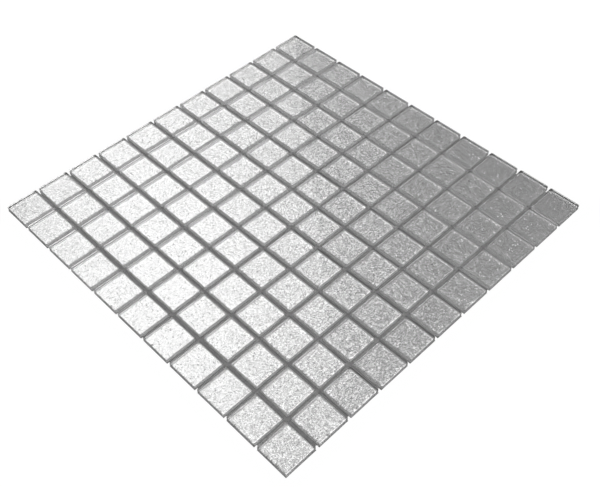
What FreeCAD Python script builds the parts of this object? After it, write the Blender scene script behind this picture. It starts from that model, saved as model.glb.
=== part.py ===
"""Mosaic tile sheet: square clear glass tiles with a silver coat on the back, bonded to an open net.

Millimetres. X and Y run along the sheet's edges and +Z points out of the tiles' faces. The origin
is the middle of the underside, on the plane that the net lies on.
"""
import FreeCAD, Part
import math
import os
import random

# Tiles
tiles_per_side = 11
tile_size = 25.0
glass_thickness = 3.85
joint_width = 2.5

# Each tile's face is rounded over all round, and its corners are cut
edge_radius = 1.0
edge_facets = 3
face_corner_cut = 0.2

# Silver leaf and its backing paint, one layer on the back of each tile
coat_thickness = 0.15
coat_margin = 0.6

# How far a tile strays from its place in the grid when the sheet is set
tile_stray = 0.16
tile_turn_degrees = 0.45

# Net: flattened strands laid one way across those laid the other way
strand_pitch = 5.0
strand_width = 0.8
strand_flat_share = 0.6
strand_thickness = 0.2
net_margin = 2.0

# Worked out from the sizes above
tile_pitch = tile_size + joint_width
half_sheet = (tiles_per_side * tile_pitch - joint_width) / 2
cross_strands_z = 0.0
long_strands_z = cross_strands_z + strand_thickness
coat_z = long_strands_z + strand_thickness
glass_z = coat_z + coat_thickness
face_z = glass_z + glass_thickness
half_strand = half_sheet - net_margin
strands_each_side = math.floor((half_strand - strand_width / 2) / strand_pitch)

up = FreeCAD.Vector(0, 0, 1)


def tile_ring(inset, z):
    """The corners of a tile's outline at height z, moved in by inset along every side.

    The corner cut grows away from the face, so that the bevel is as wide round the corners
    as along the sides.
    """
    half = tile_size / 2 - inset
    cut = face_corner_cut + (edge_radius - inset) * (2 - math.sqrt(2))
    ring = []
    for quarter in range(4):
        turn = FreeCAD.Rotation(up, 90 * quarter)
        ring.append(turn.multVec(FreeCAD.Vector(half, half - cut, z)))
        ring.append(turn.multVec(FreeCAD.Vector(half - cut, half, z)))
    return ring


def flat_face(corners):
    return Part.Face(Part.makePolygon(corners + corners[:1]))


def solid_through(rings):
    """A solid with flat faces through rings of equal count, from the lowest to the highest."""
    faces = [flat_face(rings[0]), flat_face(rings[-1])]
    for lower, upper in zip(rings, rings[1:]):
        for side in range(len(lower)):
            before = side - 1
            faces.append(flat_face([lower[before], lower[side], upper[side], upper[before]]))
    return Part.makeSolid(Part.makeShell(faces))


def glass_body():
    """One clear tile, flat at the back, with its face rounded over in a few facets."""
    rings = [tile_ring(0, glass_z)]
    for step in range(edge_facets + 1):
        angle = math.pi / 2 * step / edge_facets
        inset = edge_radius * (1 - math.cos(angle))
        drop = edge_radius * (1 - math.sin(angle))
        rings.append(tile_ring(inset, face_z - drop))
    return solid_through(rings)


def silver_coat():
    """The leaf and its paint on the back of one tile, a margin inside the glass's edge."""
    return solid_through([tile_ring(coat_margin, coat_z), tile_ring(coat_margin, glass_z)])


def tile_places():
    """Each row's list of places, every tile a little out of line, the same on each run."""
    chance = random.Random(tiles_per_side)
    places = []
    for row in range(tiles_per_side):
        places.append([])
        for column in range(tiles_per_side):
            x = tile_pitch * (column - (tiles_per_side - 1) / 2) + tile_stray * chance.uniform(-1, 1)
            y = tile_pitch * (row - (tiles_per_side - 1) / 2) + tile_stray * chance.uniform(-1, 1)
            turn = FreeCAD.Rotation(up, tile_turn_degrees * chance.uniform(-1, 1))
            places[row].append(FreeCAD.Placement(FreeCAD.Vector(x, y, 0), turn))
    return places


def copies(shape, places):
    """One compound of a shape's copies, one at each place."""
    return Part.makeCompound([shape.transformed(place.toMatrix()) for place in places])


def strand():
    """One strand along X: a flattened bundle of six sides, its underside at height 0."""
    edge = strand_width / 2
    flat = edge * strand_flat_share
    section = [
        FreeCAD.Vector(-half_strand, y, z)
        for y, z in (
            (-flat, 0),
            (flat, 0),
            (edge, strand_thickness / 2),
            (flat, strand_thickness),
            (-flat, strand_thickness),
            (-edge, strand_thickness / 2),
        )
    ]
    return flat_face(section).extrude(FreeCAD.Vector(2 * half_strand, 0, 0))


def strand_layer(z, turn_degrees):
    """All the strands that run one way, side by side at one height."""
    turn = FreeCAD.Rotation(up, turn_degrees)
    numbers = range(-strands_each_side, strands_each_side + 1)
    spots = [FreeCAD.Vector(0, number * strand_pitch, z) for number in numbers]
    return copies(strand(), [FreeCAD.Placement(turn.multVec(spot), turn) for spot in spots])


def write(name, shape):
    shape.exportStep(f"parts/{name}.step")


def main():
    os.makedirs("parts", exist_ok=True)
    glass = glass_body()
    coat = silver_coat()
    for number, places in enumerate(tile_places(), start=1):
        write(f"glass_tiles_row_{number:02d}", copies(glass, places))
        write(f"silver_coats_row_{number:02d}", copies(coat, places))
    write("net_cross_strands", strand_layer(cross_strands_z, 0))
    write("net_long_strands", strand_layer(long_strands_z, 90))


main()
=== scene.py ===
"""Looks of the mosaic tile sheet: clear glass over crinkled silver leaf, on a grey net.

Metres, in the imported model's own frame. Each piece is built on the node that it stands for.
"""

import bmesh
import bpy
import cmath
import math
import random
from mathutils import Matrix, Quaternion, Vector


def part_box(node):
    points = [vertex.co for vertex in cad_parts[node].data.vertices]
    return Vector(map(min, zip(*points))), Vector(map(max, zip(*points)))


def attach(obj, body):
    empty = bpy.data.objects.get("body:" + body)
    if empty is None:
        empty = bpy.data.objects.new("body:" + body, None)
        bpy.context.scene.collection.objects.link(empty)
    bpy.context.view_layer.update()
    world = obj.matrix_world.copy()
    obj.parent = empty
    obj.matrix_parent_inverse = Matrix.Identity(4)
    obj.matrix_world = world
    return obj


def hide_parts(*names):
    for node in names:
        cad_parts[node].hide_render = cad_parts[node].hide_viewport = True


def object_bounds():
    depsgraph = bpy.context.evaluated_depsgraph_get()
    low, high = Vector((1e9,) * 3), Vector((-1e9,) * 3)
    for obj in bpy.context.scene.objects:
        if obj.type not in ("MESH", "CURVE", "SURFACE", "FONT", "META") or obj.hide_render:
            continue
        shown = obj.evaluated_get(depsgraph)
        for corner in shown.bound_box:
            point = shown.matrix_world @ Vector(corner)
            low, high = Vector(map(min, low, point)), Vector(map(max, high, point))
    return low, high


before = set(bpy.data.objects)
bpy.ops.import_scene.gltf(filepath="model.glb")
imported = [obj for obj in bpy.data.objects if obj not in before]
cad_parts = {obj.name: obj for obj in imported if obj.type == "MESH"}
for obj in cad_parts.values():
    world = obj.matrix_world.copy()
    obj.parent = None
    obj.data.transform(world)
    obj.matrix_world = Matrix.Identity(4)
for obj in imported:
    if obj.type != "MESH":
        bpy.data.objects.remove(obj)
cad_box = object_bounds()

MM = 0.001

# Corners of a CAD mesh that are one corner, and heights that are level, are within these
same_corner = 0.001 * MM
same_height = 0.01 * MM

# Glass tile's shape: the reach of its rounded edge, inwards and down, and its corners' radius
edge_width = 1.0 * MM
edge_drop = 0.5 * MM
edge_steps = 6
corner_radius = 1.0 * MM
face_corner_radius = 0.3 * MM
corner_steps = 6

# Leaf's shape: its cells along a side, how far it lies inside the glass's back, and its crinkle
leaf_cells = 32
leaf_corner_cut = 1.14 * MM
leaf_rise = 0.02 * MM
leaf_crinkle = 0.003 * MM

# Net's shape
strand_steps = 60
strand_wander = 0.06 * MM
strand_sides = 8

# The share of its range that most of a noise falls in
noise_span = (0.3, 0.7)

# Clear glass, with a slow ripple and a faint tint, and its matt sides
glass_ior = 1.5
ripple_size = 9 * MM
ripple_height = 0.006 * MM
tint_size = 11 * MM
tint_span = (0.35, 0.75)
tint_tones = (0.97, 0.99)
side_tint = (0.9, 0.9, 0.9, 1.0)
side_clearness = 0.8
side_grain = 1.5 * MM
side_roughness = (0.1, 0.2)

# Silver leaf: flat flakes, the few steepest far more tilted than the rest, over slow folds
flake_size = 0.7 * MM
flake_steepest = (0.88, 1.0)
flake_tilt = (0.14, 0.5)
fold_size = 4 * MM
fold_height = 0.015 * MM
leaf_patch = 1.2 * MM
leaf_tones = (0.9, 1.0)
leaf_metal = 0.75
leaf_roughness = 0.24

# Paint behind the leaf
paint_patch = 3 * MM
paint_tones = (0.66, 0.74)
paint_grain = 0.4 * MM
paint_grain_height = 0.03 * MM
paint_roughness = 0.6

# Net's fibre
fibre_patch = 1.5 * MM
fibre_tones = (0.24, 0.32)
fibre_grain = 0.15 * MM
fibre_grain_height = 0.03 * MM
fibre_roughness = 0.5

# Floor: painted shade in its colour, dark under the sheet and darkest at its rim and in the
# notches between its outer tiles, then growing from painted shade to open as the glass shows it,
# over these distances from the sheet
floor_reach = 4.0
floor_gap = 0.05 * MM
shade_from = 8 * MM
shade_to = 40 * MM
tile_pitch = 27.5 * MM
joint_width = 2.5 * MM
notch_depth = 2.2 * MM
rim_blur = 0.3 * MM
rim_from = 3 * MM
rim_to = 1 * MM
# Tones of the painted shade on the floor: under the sheet, and at and beside its rim
under_painted_shade = 0.36
rim_painted_shade = 0.1
open_tone = 0.8
backdrop_share = 0.9
backdrop_glow = 1.1

# Camera, fitted to the tiles' corners in the photograph
camera_place = Vector((-0.28806, -0.31184, 0.45596))
camera_aim = Vector((-0.0188, -0.02795, 0.0))
camera_roll = math.radians(-1.30)
lens_mm = 50.198
sensor_mm = 36.0
near_clip = 0.01

# Room light: its level, and its level round the dim side (an azimuth and a height in degrees)
# with the angles from that side between which it changes
room_light = 0.75
dim_light = 0.13
dim_side = (15, 40)
dim_from = 5
dim_to = 65
lamp_distance = 1.2

white = (1.0, 1.0, 1.0, 1.0)
middle_colour = (0.5, 0.5, 0.5)
sideways = (1.0, 1.0, 0.0)
up = Vector((0, 0, 1))


class Nodes:
    """Short ways to add and join the nodes of one material or world."""

    def __init__(self, tree):
        self.tree = tree
        self.tree.nodes.clear()

    def add(self, kind, **sockets):
        node = self.tree.nodes.new(kind)
        for name, value in sockets.items():
            self.put(node.inputs[name.replace("_", " ")], value)
        return node

    def put(self, socket, value):
        if isinstance(value, bpy.types.NodeSocket):
            self.tree.links.new(value, socket)
        else:
            socket.default_value = value

    def math(self, operation, *values):
        node = self.tree.nodes.new("ShaderNodeMath")
        node.operation = operation
        for socket, value in zip(node.inputs, values):
            self.put(socket, value)
        return node.outputs[0]

    def vector(self, operation, *values):
        node = self.tree.nodes.new("ShaderNodeVectorMath")
        node.operation = operation
        sockets = [socket for socket in node.inputs if socket.enabled]
        for socket, value in zip(sockets, values):
            self.put(socket, value)
        return node.outputs["Value" if operation == "DOT_PRODUCT" else "Vector"]

    def spread(self, value, span, to, interpolation="LINEAR"):
        """The value's share of a span, as the same share of another."""
        node = self.add("ShaderNodeMapRange", Value=value)
        node.interpolation_type = interpolation
        ends = {"From Min": span[0], "From Max": span[1], "To Min": to[0], "To Max": to[1]}
        for name, end in ends.items():
            node.inputs[name].default_value = end
        return node.outputs["Result"]

    def grey(self, value):
        node = self.add("ShaderNodeCombineColor")
        for socket in node.inputs:
            self.put(socket, value)
        return node.outputs[0]

    def finish(self, shader):
        self.add("ShaderNodeOutputMaterial", Surface=shader.outputs[0])


def material(name):
    """A new material, its nodes, and the place in space that its noises are drawn from."""
    made = bpy.data.materials.new(name)
    made.use_nodes = True
    n = Nodes(made.node_tree)
    return made, n, n.add("ShaderNodeNewGeometry").outputs["Position"]


def noise(n, place, size, detail=2.0):
    """Noise whose features are about size metres across."""
    node = n.add("ShaderNodeTexNoise", Vector=place, Scale=1 / size, Detail=detail)
    return node.outputs["Fac"]


def mottle(n, place, size, tones, detail=2.0, span=noise_span):
    """Grey that wanders between two tones, in patches about size metres across."""
    return n.grey(n.spread(noise(n, place, size, detail), span, tones))


def bump(n, height, distance):
    return n.add("ShaderNodeBump", Height=height, Distance=distance)


def clear_glass():
    made, n, place = material("clear_glass")
    ripple = bump(n, noise(n, place, ripple_size), ripple_height)
    n.finish(n.add(
        "ShaderNodeBsdfPrincipled",
        Base_Color=mottle(n, place, tint_size, tint_tones, span=tint_span),
        Roughness=0.0,
        IOR=glass_ior,
        Transmission_Weight=1.0,
        Normal=ripple.outputs["Normal"],
    ))
    return made


def glass_side():
    made, n, place = material("glass_side")
    n.finish(n.add(
        "ShaderNodeBsdfPrincipled",
        Base_Color=side_tint,
        Roughness=n.spread(noise(n, place, side_grain, detail=3.0), noise_span, side_roughness),
        IOR=glass_ior,
        Transmission_Weight=side_clearness,
    ))
    return made


def silver_leaf():
    """Each flake's random colour gives its tilt: red and green which way, blue how steep."""
    made, n, place = material("silver_leaf")
    flakes = n.add("ShaderNodeTexVoronoi", Vector=place, Scale=1 / flake_size)
    split = n.add("ShaderNodeSeparateColor", Color=flakes.outputs["Color"])
    steep = n.spread(split.outputs["Blue"], flake_steepest, flake_tilt)
    tilt = n.vector("SUBTRACT", flakes.outputs["Color"], middle_colour)
    tilt = n.vector("MULTIPLY", tilt, sideways)
    tilt = n.vector("SCALE", tilt, steep)
    flat = n.add("ShaderNodeNewGeometry").outputs["Normal"]
    tilted = n.vector("NORMALIZE", n.vector("ADD", flat, tilt))
    folds = n.add(
        "ShaderNodeTexNoise",
        Vector=place,
        Scale=1 / fold_size,
        Detail=4.0,
        Roughness=0.6,
        Distortion=1.5,
    )
    folded = bump(n, folds.outputs["Fac"], fold_height)
    n.put(folded.inputs["Normal"], tilted)
    n.finish(n.add(
        "ShaderNodeBsdfPrincipled",
        Base_Color=mottle(n, place, leaf_patch, leaf_tones, detail=3.0),
        Metallic=leaf_metal,
        Roughness=leaf_roughness,
        Normal=folded.outputs["Normal"],
    ))
    return made


def back_paint():
    made, n, place = material("back_paint")
    grain = bump(n, noise(n, place, paint_grain, detail=4.0), paint_grain_height)
    n.finish(n.add(
        "ShaderNodeBsdfPrincipled",
        Base_Color=mottle(n, place, paint_patch, paint_tones, detail=4.0),
        Roughness=paint_roughness,
        Normal=grain.outputs["Normal"],
    ))
    return made


def net_fibre():
    made, n, place = material("net_fibre")
    grain = bump(n, noise(n, place, fibre_grain, detail=3.0), fibre_grain_height)
    n.finish(n.add(
        "ShaderNodeBsdfPrincipled",
        Base_Color=mottle(n, place, fibre_patch, fibre_tones, detail=3.0),
        Roughness=fibre_roughness,
        Normal=grain.outputs["Normal"],
    ))
    return made


def islands(node):
    """The separate solids of a CAD node, each as a list of its corners, from low x to high."""
    mesh = bmesh.new()
    mesh.from_mesh(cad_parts[node].data)
    bmesh.ops.remove_doubles(mesh, verts=mesh.verts, dist=same_corner)
    left = set(mesh.verts)
    found = []
    while left:
        todo = [left.pop()]
        island = []
        while todo:
            vert = todo.pop()
            island.append(vert.co.copy())
            for edge in vert.link_edges:
                other = edge.other_vert(vert)
                if other in left:
                    left.remove(other)
                    todo.append(other)
        found.append(island)
    mesh.free()
    return sorted(found, key=lambda island: min((co.x, co.y) for co in island))


def ends_of(corners):
    """The lowest and highest corners of the box round some corners."""
    low = Vector([min(co[axis] for co in corners) for axis in range(3)])
    high = Vector([max(co[axis] for co in corners) for axis in range(3)])
    return low, high


class Tile:
    """Where one tile lies: its middle, turn about Z, half side, and lowest and highest z."""

    def __init__(self, corners):
        low, high = ends_of(corners)
        self.low, self.high = low.z, high.z
        self.middle = complex((low.x + high.x) / 2, (low.y + high.y) / 2)
        base = [complex(co.x, co.y) - self.middle for co in corners if co.z < low.z + same_height]
        self.turn = cmath.phase(-sum(z ** 4 for z in base)) / 4
        self.half = max((z * cmath.rect(1, -self.turn)).real for z in base)

    def aim(self, x, y, z):
        """A direction given in the tile's own axes."""
        turned = complex(x, y) * cmath.rect(1, self.turn)
        return Vector((turned.real, turned.imag, z))

    def put(self, x, y, z):
        """A place given from the tile's middle, in its own axes."""
        turned = self.middle + complex(x, y) * cmath.rect(1, self.turn)
        return Vector((turned.real, turned.imag, z))


def round_square(half, radius):
    """Points round a square with round corners, each with its outward direction."""
    points = []
    for quarter in range(4):
        middle = cmath.rect((half - radius) * math.sqrt(2), math.radians(90 * quarter + 45))
        for step in range(corner_steps + 1):
            out = cmath.rect(1, math.radians(90 * quarter + 90 * step / corner_steps))
            points.append((middle + radius * out, out))
    return points


class Builder:
    """Collects corners, faces, corner normals and slots for one mesh."""

    def __init__(self):
        self.corners = []
        self.faces = []
        self.normals = []
        self.slots = []

    def corner(self, place):
        self.corners.append(place)
        return len(self.corners) - 1

    def face(self, corners, normals, slot=0):
        self.faces.append(corners)
        self.normals.extend(normals)
        self.slots.append(slot)

    def band(self, lower, upper, slot=0):
        """Faces between two rings, each a list of corners with their normals."""
        for side in range(len(lower)):
            quad = [lower[side - 1], lower[side], upper[side], upper[side - 1]]
            self.face([corner for corner, _ in quad], [normal for _, normal in quad], slot)

    def make(self, name, materials):
        mesh = bpy.data.meshes.new(name)
        mesh.from_pydata(self.corners, [], self.faces)
        for made in materials:
            mesh.materials.append(made)
        mesh.polygons.foreach_set("material_index", self.slots)
        mesh.polygons.foreach_set("use_smooth", [True] * len(self.faces))
        mesh.normals_split_custom_set(self.normals)
        mesh.update()
        made = bpy.data.objects.new(name, mesh)
        bpy.context.scene.collection.objects.link(made)
        return made


def add_glass(build, tile):
    """One tile of clear glass, its sides in the second slot, with its face rounded over."""
    levels = [(0.0, tile.low, 0.0)]
    for step in range(edge_steps + 1):
        angle = math.pi / 2 * step / edge_steps
        inset = edge_width * (1 - math.cos(angle))
        z = tile.high - edge_drop * (1 - math.sin(angle))
        rise = math.atan2(math.sin(angle) * edge_width, math.cos(angle) * edge_drop)
        levels.append((inset, z, rise))
    rings = []
    for inset, z, rise in levels:
        radius = corner_radius - (corner_radius - face_corner_radius) * inset / edge_width
        ring = []
        for point, out in round_square(tile.half - inset, radius):
            level = out * math.cos(rise)
            normal = tile.aim(level.real, level.imag, math.sin(rise))
            ring.append((build.corner(tile.put(point.real, point.imag, z)), normal))
        rings.append(ring)
    build.band(rings[0], rings[1], slot=1)
    for lower, upper in zip(rings[1:], rings[2:]):
        build.band(lower, upper)
    build.face([corner for corner, _ in reversed(rings[0])], [-up] * len(rings[0]))
    build.face([corner for corner, _ in rings[-1]], [normal for _, normal in rings[-1]])


def add_leaf(build, tile, glass_z, chance):
    """One tile's silver leaf, crinkled, with flat paint, the second slot, behind and round it."""
    step = 2 * tile.half / leaf_cells
    grid = []
    for row in range(leaf_cells + 1):
        grid.append([])
        for column in range(leaf_cells + 1):
            rise = leaf_rise + leaf_crinkle * chance.uniform(-1, 1)
            x = column * step - tile.half
            y = row * step - tile.half
            over = max(0.0, abs(x) + abs(y) - (2 * tile.half - leaf_corner_cut)) / 2
            x -= math.copysign(over, x)
            y -= math.copysign(over, y)
            grid[row].append(build.corner(tile.put(x, y, glass_z + rise)))
    for row in range(leaf_cells):
        for column in range(leaf_cells):
            cell = grid[row][column:column + 2] + grid[row + 1][column:column + 2][::-1]
            a, b, c, d = [build.corners[number] for number in cell]
            build.face(cell, [(c - a).cross(d - b).normalized()] * 4)
    rim = grid[0][:-1] + [line[-1] for line in grid[:-1]]
    rim += grid[-1][:0:-1] + [line[0] for line in grid[:0:-1]]
    foot = [build.corner(Vector((*build.corners[number].xy, tile.low))) for number in rim]
    for side in range(len(rim)):
        along = build.corners[foot[side]] - build.corners[foot[side - 1]]
        out = along.cross(up).normalized()
        build.face([foot[side - 1], foot[side], rim[side], rim[side - 1]], [out] * 4, slot=1)
    build.face(foot[::-1], [-up] * len(foot), slot=1)


def dress_rows(glass_material, side_material, leaf_material, paint_material):
    rows = sorted(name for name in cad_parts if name.startswith("glass_tiles_row_"))
    for row in rows:
        number = row.rsplit("_", 1)[1]
        coats = "silver_coats_row_" + number
        chance = random.Random(int(number))
        glass_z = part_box(row)[0][2]
        glass = Builder()
        for corners in islands(row):
            add_glass(glass, Tile(corners))
        leaves = Builder()
        for corners in islands(coats):
            add_leaf(leaves, Tile(corners), glass_z, chance)
        tiles = glass.make("glass_row_" + number, [glass_material, side_material])
        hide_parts(row)
        leaf = leaves.make("silver_row_" + number, [leaf_material, paint_material])
        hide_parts(coats)
        for piece in (tiles, leaf):
            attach(piece, "root")


def add_strand(build, corners, chance):
    """One strand: a flattened bundle of fibre that wanders slightly from side to side."""
    low, high = ends_of(corners)
    middle = (low + high) / 2
    size = high - low
    along = Vector((1, 0, 0)) if size.x > size.y else Vector((0, 1, 0))
    across = up.cross(along)
    length = max(size.xy)
    half_width = min(size.xy) / 2
    half_height = size.z / 2
    rings = []
    for step in range(strand_steps + 1):
        spine = middle + along * length * (step / strand_steps - 0.5)
        spine += across * strand_wander * chance.uniform(-1, 1)
        ring = []
        for side in range(strand_sides):
            angle = 2 * math.pi * side / strand_sides
            out = across * (half_width - strand_wander) * math.cos(angle)
            out += up * half_height * math.sin(angle)
            normal = across * math.cos(angle) + up * (math.sin(angle) * half_width / half_height)
            ring.append((build.corner(spine + out), normal.normalized()))
        rings.append(ring)
    for before, after in zip(rings, rings[1:]):
        build.band(before, after)
    build.face([corner for corner, _ in rings[0]][::-1], [-along] * strand_sides)
    build.face([corner for corner, _ in rings[-1]], [along] * strand_sides)


def dress_net(node, fibre):
    chance = random.Random(node)
    build = Builder()
    for corners in islands(node):
        add_strand(build, corners, chance)
    net = build.make(node.replace("net_", "fibre_"), [fibre])
    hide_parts(node)
    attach(net, "root")


def joint_mask(n, distance):
    """1 where a distance from the sheet's middle falls in a joint between two tiles."""
    place = n.math("PINGPONG", n.math("ADD", distance, tile_pitch / 2), tile_pitch / 2)
    return n.math("LESS_THAN", place, joint_width / 2)


def floor_material(reach):
    """A pale floor with painted shade in its colour under and beside the sheet, which reaches so
    far from the middle.
    """
    made, n, place = material("pale_floor_painted_shade")
    path = n.add("ShaderNodeLightPath")
    inside = n.math("MAXIMUM", path.outputs["Is Glossy Ray"], path.outputs["Is Transmission Ray"])
    out = n.add("ShaderNodeSeparateXYZ", Vector=n.vector("ABSOLUTE", place))
    out_x, out_y = out.outputs["X"], out.outputs["Y"]
    far = n.math("MAXIMUM", out_x, out_y)
    in_joint = n.math("MAXIMUM", joint_mask(n, out_x), joint_mask(n, out_y))
    rim = n.math("ADD", far, n.math("MULTIPLY", in_joint, notch_depth))
    clear = n.spread(rim, (reach - rim_blur, reach), (0.0, backdrop_share))
    open_floor = n.spread(far, (reach + shade_from, reach + shade_to), (0.0, 1.0))
    share = n.math("MULTIPLY", path.outputs["Is Camera Ray"], clear)
    share = n.math("MAXIMUM", share, n.math("MULTIPLY", inside, open_floor))
    # Painted shade: the floor's colour is dark under the sheet, darkest at its rim, and pales
    # again away from it
    under = n.spread(far, (reach - rim_from, reach - rim_to), (under_painted_shade, rim_painted_shade))
    beside = n.spread(open_floor, (0.0, 1.0), (rim_painted_shade, open_tone))
    painted_shade_floor = n.add("ShaderNodeBsdfDiffuse", Color=n.grey(n.math("MAXIMUM", under, beside)))
    glow = n.add("ShaderNodeEmission", Color=white, Strength=backdrop_glow)
    mix = n.add("ShaderNodeMixShader")
    for socket, value in zip(mix.inputs, (share, painted_shade_floor.outputs[0], glow.outputs[0])):
        n.put(socket, value)
    n.finish(mix)
    return made


def floor():
    low, high = cad_box
    ends = (-floor_reach, floor_reach)
    corners = [(x, y, low[2] - floor_gap) for x in ends for y in ends]
    mesh = bpy.data.meshes.new("floor")
    mesh.from_pydata(corners, [], [(0, 2, 3, 1)])
    mesh.materials.append(floor_material(high[0]))
    made = bpy.data.objects.new("floor", mesh)
    bpy.context.scene.collection.objects.link(made)


def heading(azimuth, height):
    """The unit vector at an azimuth, from +X towards +Y, and a height, both in degrees."""
    azimuth, height = math.radians(azimuth), math.radians(height)
    level = cmath.rect(math.cos(height), azimuth)
    return Vector((level.real, level.imag, math.sin(height)))


def studio():
    """A pale room, dimmer towards the back on the right, and white where the camera sees it."""
    world = bpy.data.worlds.new("studio")
    bpy.context.scene.world = world
    world.use_nodes = True
    n = Nodes(world.node_tree)
    ray = n.add("ShaderNodeTexCoord").outputs["Generated"]
    near = n.vector("DOT_PRODUCT", ray, heading(*dim_side))
    span = [math.cos(math.radians(angle)) for angle in (dim_to, dim_from)]
    level = n.spread(near, span, (room_light, dim_light), "SMOOTHSTEP")
    seen = n.add("ShaderNodeLightPath").outputs["Is Camera Ray"]
    air = n.add("ShaderNodeBackground", Color=white, Strength=n.math("MAXIMUM", level, seen))
    n.add("ShaderNodeOutputWorld", Surface=air.outputs[0])


def soft_box(name, azimuth, height, roll, width, length, radiance):
    """A flat lamp facing the sheet's middle, its sides given as shares of its distance."""
    out = heading(azimuth, height)
    level = Quaternion(out, math.radians(roll)) @ up.cross(out).normalized()
    turn = Matrix((level, out.cross(level), out)).transposed()
    lamp = bpy.data.lights.new(name, "AREA")
    lamp.shape = "RECTANGLE"
    lamp.size = width * lamp_distance
    lamp.size_y = length * lamp_distance
    lamp.energy = radiance * math.pi * lamp.size * lamp.size_y
    made = bpy.data.objects.new(name, lamp)
    made.matrix_world = Matrix.Translation(out * lamp_distance) @ turn.to_4x4()
    bpy.context.scene.collection.objects.link(made)


def camera():
    data = bpy.data.cameras.new("camera")
    data.lens = lens_mm
    data.sensor_width = sensor_mm
    data.clip_start = near_clip
    made = bpy.data.objects.new("camera", data)
    aim = (camera_aim - camera_place).to_track_quat("-Z", "Y")
    turn = aim @ Quaternion((0, 0, 1), camera_roll)
    made.matrix_world = Matrix.Translation(camera_place) @ turn.to_matrix().to_4x4()
    bpy.context.scene.collection.objects.link(made)
    bpy.context.scene.camera = made


bpy.context.scene.view_settings.view_transform = "Standard"
dress_rows(clear_glass(), glass_side(), silver_leaf(), back_paint())
fibre = net_fibre()
dress_net("net_cross_strands", fibre)
dress_net("net_long_strands", fibre)
floor()
studio()
soft_box(
    "back_box", azimuth=65.6, height=50.8, roll=-9.5, width=0.506, length=0.836, radiance=1.32
)
soft_box("front_box", azimuth=-58, height=49, roll=0, width=0.8, length=0.8, radiance=1.6)
camera()
